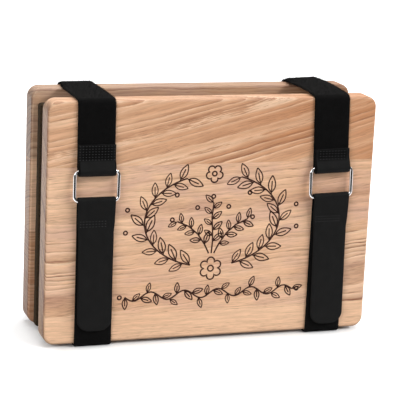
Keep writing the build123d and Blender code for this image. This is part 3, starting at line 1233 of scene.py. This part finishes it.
def arc(centre, radiusX, radiusZ, start, end, count=40):
    spots = []
    for index in range(count + 1):
        angle = math.radians(start + (end - start) * index / count)
        spots.append((centre[0] + radiusX * math.cos(angle), centre[1] + radiusZ * math.sin(angle)))
    return spots


def rosette(centre, radius, petals, turn=0.0):
    spots = []
    for index in range(12 * petals):
        angle = 2 * math.pi * index / (12 * petals)
        reach = radius * (0.62 + 0.38 * abs(math.sin(petals * angle / 2)) ** 0.6)
        spots.append((centre[0] + reach * math.cos(angle + turn), centre[1] + reach * math.sin(angle + turn)))
    return [(spots, True), (arc(centre, radius * 0.26, radius * 0.26, 0, 345, 14), True)]


def berry(spot, radius=1.4):
    return (arc(spot, radius, radius, 0, 330, 11), True)


wreathAt = (0.0, 91.0)
stems = [arc(wreathAt, 52, 35, 252, 114), arc(wreathAt, 52, 35, 288, 426)]
sprigs = [
    [(0, 66), (0.6, 75), (0.2, 84), (-0.6, 93), (0.4, 104)],
    [(-2, 66), (-5.5, 73), (-11, 81), (-18, 87), (-27, 91)],
    [(2, 66), (5.5, 73), (11, 81), (18, 87), (27, 91)],
]
vine = [(x, 35.5 + 3.2 * math.sin(2 * math.pi * x / 26)) for x in range(-65, 66, 2)]
lines = [(spots, False) for spots in stems] + [(vine, False)]
lines += rosette((0, 54.5), 8.5, 6) + rosette((0, 126), 6.5, 5, 0.31)
berries = [(-65, 101), (65, 101), (-66, 84), (66, 84), (-28, 111), (28, 111), (0, 109)]
berries += [(-31, 92.5), (31, 92.5), (-12, 101), (12, 101), (-69, 35.5), (69, 35.5)]
lines += [berry(spot) for spot in berries]
drawnAt = metres(0, frontFace + drawForm["thick"] / 2 - drawForm["proud"], 0)
burn, garland = lineTree(), garlandTree()
line, fine, thick = metres(drawForm["line"], drawForm["fine"], drawForm["thick"])
common = {"Line": line, "Thick": thick, "Centre": drawnAt, "Material": burnt}
broad = {**common, "Line": fine, "Leaf": 0.0135, "Breadth": 0.0052, "Spread": 0.75}
small = {**broad, "Leaf": 0.009, "Breadth": 0.0036, "Spread": 0.9}


def unclosed(group, first=0):
    return [(spots[first:], False) for spots in group]


drawn = [
    grow("wreath_lines", burn, strokes("wreath_lines", lines + unclosed(sprigs)), **common),
    grow("wreath_leaves", garland, strokes("wreath_leaves", unclosed(stems)), Count=19, **broad),
    grow("sprig_leaves", garland, strokes("sprig_leaves", unclosed(sprigs, 1)), Count=8, **small),
    grow("vine_leaves", garland, strokes("vine_leaves", unclosed([vine])), Count=24, **small),
]
for piece in drawn:
    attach(piece, "front")
print("front board decorated")

# Floor, light and camera
floorForm = {
    "tone": 0.8,
    "bounce": 0.3,
    "hazeFrom": 0.12,
    "hazeTo": 0.26,
    "hazeNear": 0.46,
    "shadeInset": 14.0,
    "shadeReach": 0.018,
    "dusk": 0.06,
}
roomForm = {"ambient": 0.235, "behindCamera": 0.045}


def rayKinds(tree):
    rays = node(tree, "ShaderNodeLightPath").outputs
    return rays, calc(tree, "MAXIMUM", rays["Is Glossy Ray"], rays["Is Transmission Ray"])


def shine(tree, kind, colour, strength):
    return node(tree, "ShaderNode" + kind, {"Color": (*colour, 1), "Strength": strength}).outputs[0]


def mixShader(tree, amount, first, second):
    return node(tree, "ShaderNodeMixShader", {0: amount, 1: first, 2: second}).outputs[0]


floorMesh = bpy.data.meshes.new("floor")
floorMesh.from_pydata([(-6, -6, 0), (6, -6, 0), (6, 6, 0), (-6, 6, 0)], [], [(0, 1, 2, 3)])
floor = addObject("floor", floorMesh)
floorPaint = bpy.data.materials.new("pale_floor")
tree = emptyTree(floorPaint)
rays, mirrored = rayKinds(tree)
# The floor throws little light back, so that the straps and rings cast clear shadows
tones = [(*[floorForm[key]] * 3, 1) for key in ("tone", "bounce")]
tone = mixColour(tree, rays["Is Diffuse Ray"], *tones)
matt = node(tree, "ShaderNodeBsdfDiffuse", {"Color": tone}).outputs[0]
spot = node(tree, "ShaderNodeTexCoord").outputs["Object"]
hazeFrom, hazeTo, hazeNear = [floorForm[key] for key in ("hazeFrom", "hazeTo", "hazeNear")]
far = remap(tree, lengthOf(tree, spot), hazeFrom, hazeTo, hazeNear, 1.0)
haze = product(tree, calc(tree, "MAXIMUM", rays["Is Camera Ray"], mirrored), far)
# Under the boards, and just outside them, the floor lies in their shade
footprint = vectorCalc(tree, "SUBTRACT", spot, metres(0, (frontFace + backFace) / 2, 0))
halfSize = metres(boardHigh[0] - floorForm["shadeInset"], (backFace - frontFace) / 2, 0)
outside = vectorCalc(tree, "SUBTRACT", vectorCalc(tree, "ABSOLUTE", footprint), halfSize)
outside = lengthOf(tree, vectorCalc(tree, "MAXIMUM", outside))
haze = product(tree, haze, remap(tree, outside, 0.0, floorForm["shadeReach"]))
glow = shine(tree, "Emission", (1, 1, 1), haze)
both = node(tree, "ShaderNodeAddShader", {0: matt, 1: glow}).outputs[0]
# The room behind the camera is dim, so the wire shows dark lines between its highlights
hidden = product(tree, mirrored, remap(tree, axes(tree, spot)[1], -0.1, -0.3))
dusk = shine(tree, "Emission", (1, 0.9, 0.8), floorForm["dusk"])
node(tree, "ShaderNodeOutputMaterial", {0: mixShader(tree, hidden, both, dusk)})
floorMesh.materials.append(floorPaint)

world = bpy.data.worlds.new("studio")
scene.world = world
tree = emptyTree(world)
rays, mirrored = rayKinds(tree)
toward = axes(tree, node(tree, "ShaderNodeTexCoord").outputs["Generated"])
wall = remap(tree, toward[1], -0.45, 0.3, roomForm["behindCamera"], 1.0)
room = calc(tree, "MAXIMUM", wall, remap(tree, toward[2], 0.45, 0.8))
ambient = shine(tree, "Background", (1, 1, 1), roomForm["ambient"])
dim = shine(tree, "Background", (1, 0.95, 0.9), room)
white = shine(tree, "Background", (1, 1, 1), 1.0)
lit = mixShader(tree, mirrored, ambient, dim)
node(tree, "ShaderNodeOutputWorld", {0: mixShader(tree, rays["Is Camera Ray"], lit, white)})

lampForm = {
    "key": {"at": (2.75, -2.3, 2.65), "size": (3.0, 0.7), "power": 155},
    "fill": {"at": (-2.3, -2.2, 1.3), "size": (2.0, 2.0), "power": 53},
    "top": {"at": (0.2, 0.2, 2.2), "size": (1.4, 1.4), "power": 30},
}
for name, form in lampForm.items():
    lamp = bpy.data.lights.new(name, "AREA")
    lamp.shape = "RECTANGLE"
    lamp.size, lamp.size_y = form["size"]
    lamp.energy = form["power"]
    held = addObject(name + "_lamp", lamp)
    held.location = form["at"]
    held.rotation_euler = (Vector((0, 0, 0.09)) - Vector(form["at"])).to_track_quat("-Z", "Y").to_euler()

cameraForm = {
    "at": (-0.39483, frontFace / 1000 - 1.12809, 0.39743),
    "azimuth": -18.8142,
    "elevation": 13.7122,
    "roll": 2.5485,
    "lens": 151.792,
}
camera = bpy.data.cameras.new("camera")
camera.lens = cameraForm["lens"]
camera.sensor_width = 36.0
cameraObject = addObject("camera", camera)
azimuth, elevation, roll = [math.radians(cameraForm[key]) for key in ("azimuth", "elevation", "roll")]
level = Vector((math.cos(azimuth), math.sin(azimuth), 0))
flatway = Vector((math.sin(azimuth), -math.cos(azimuth), 0))
behind = math.cos(elevation) * flatway + Vector((0, 0, math.sin(elevation)))
above = level.cross(-behind)
right = math.cos(roll) * level + math.sin(roll) * above
up = -math.sin(roll) * level + math.cos(roll) * above
turn = Matrix((right, up, behind)).transposed().to_4x4()
cameraObject.matrix_world = Matrix.Translation(cameraForm["at"]) @ turn
scene.camera = cameraObject
print("floor, lamps and camera set")

bpy.context.view_layer.update()
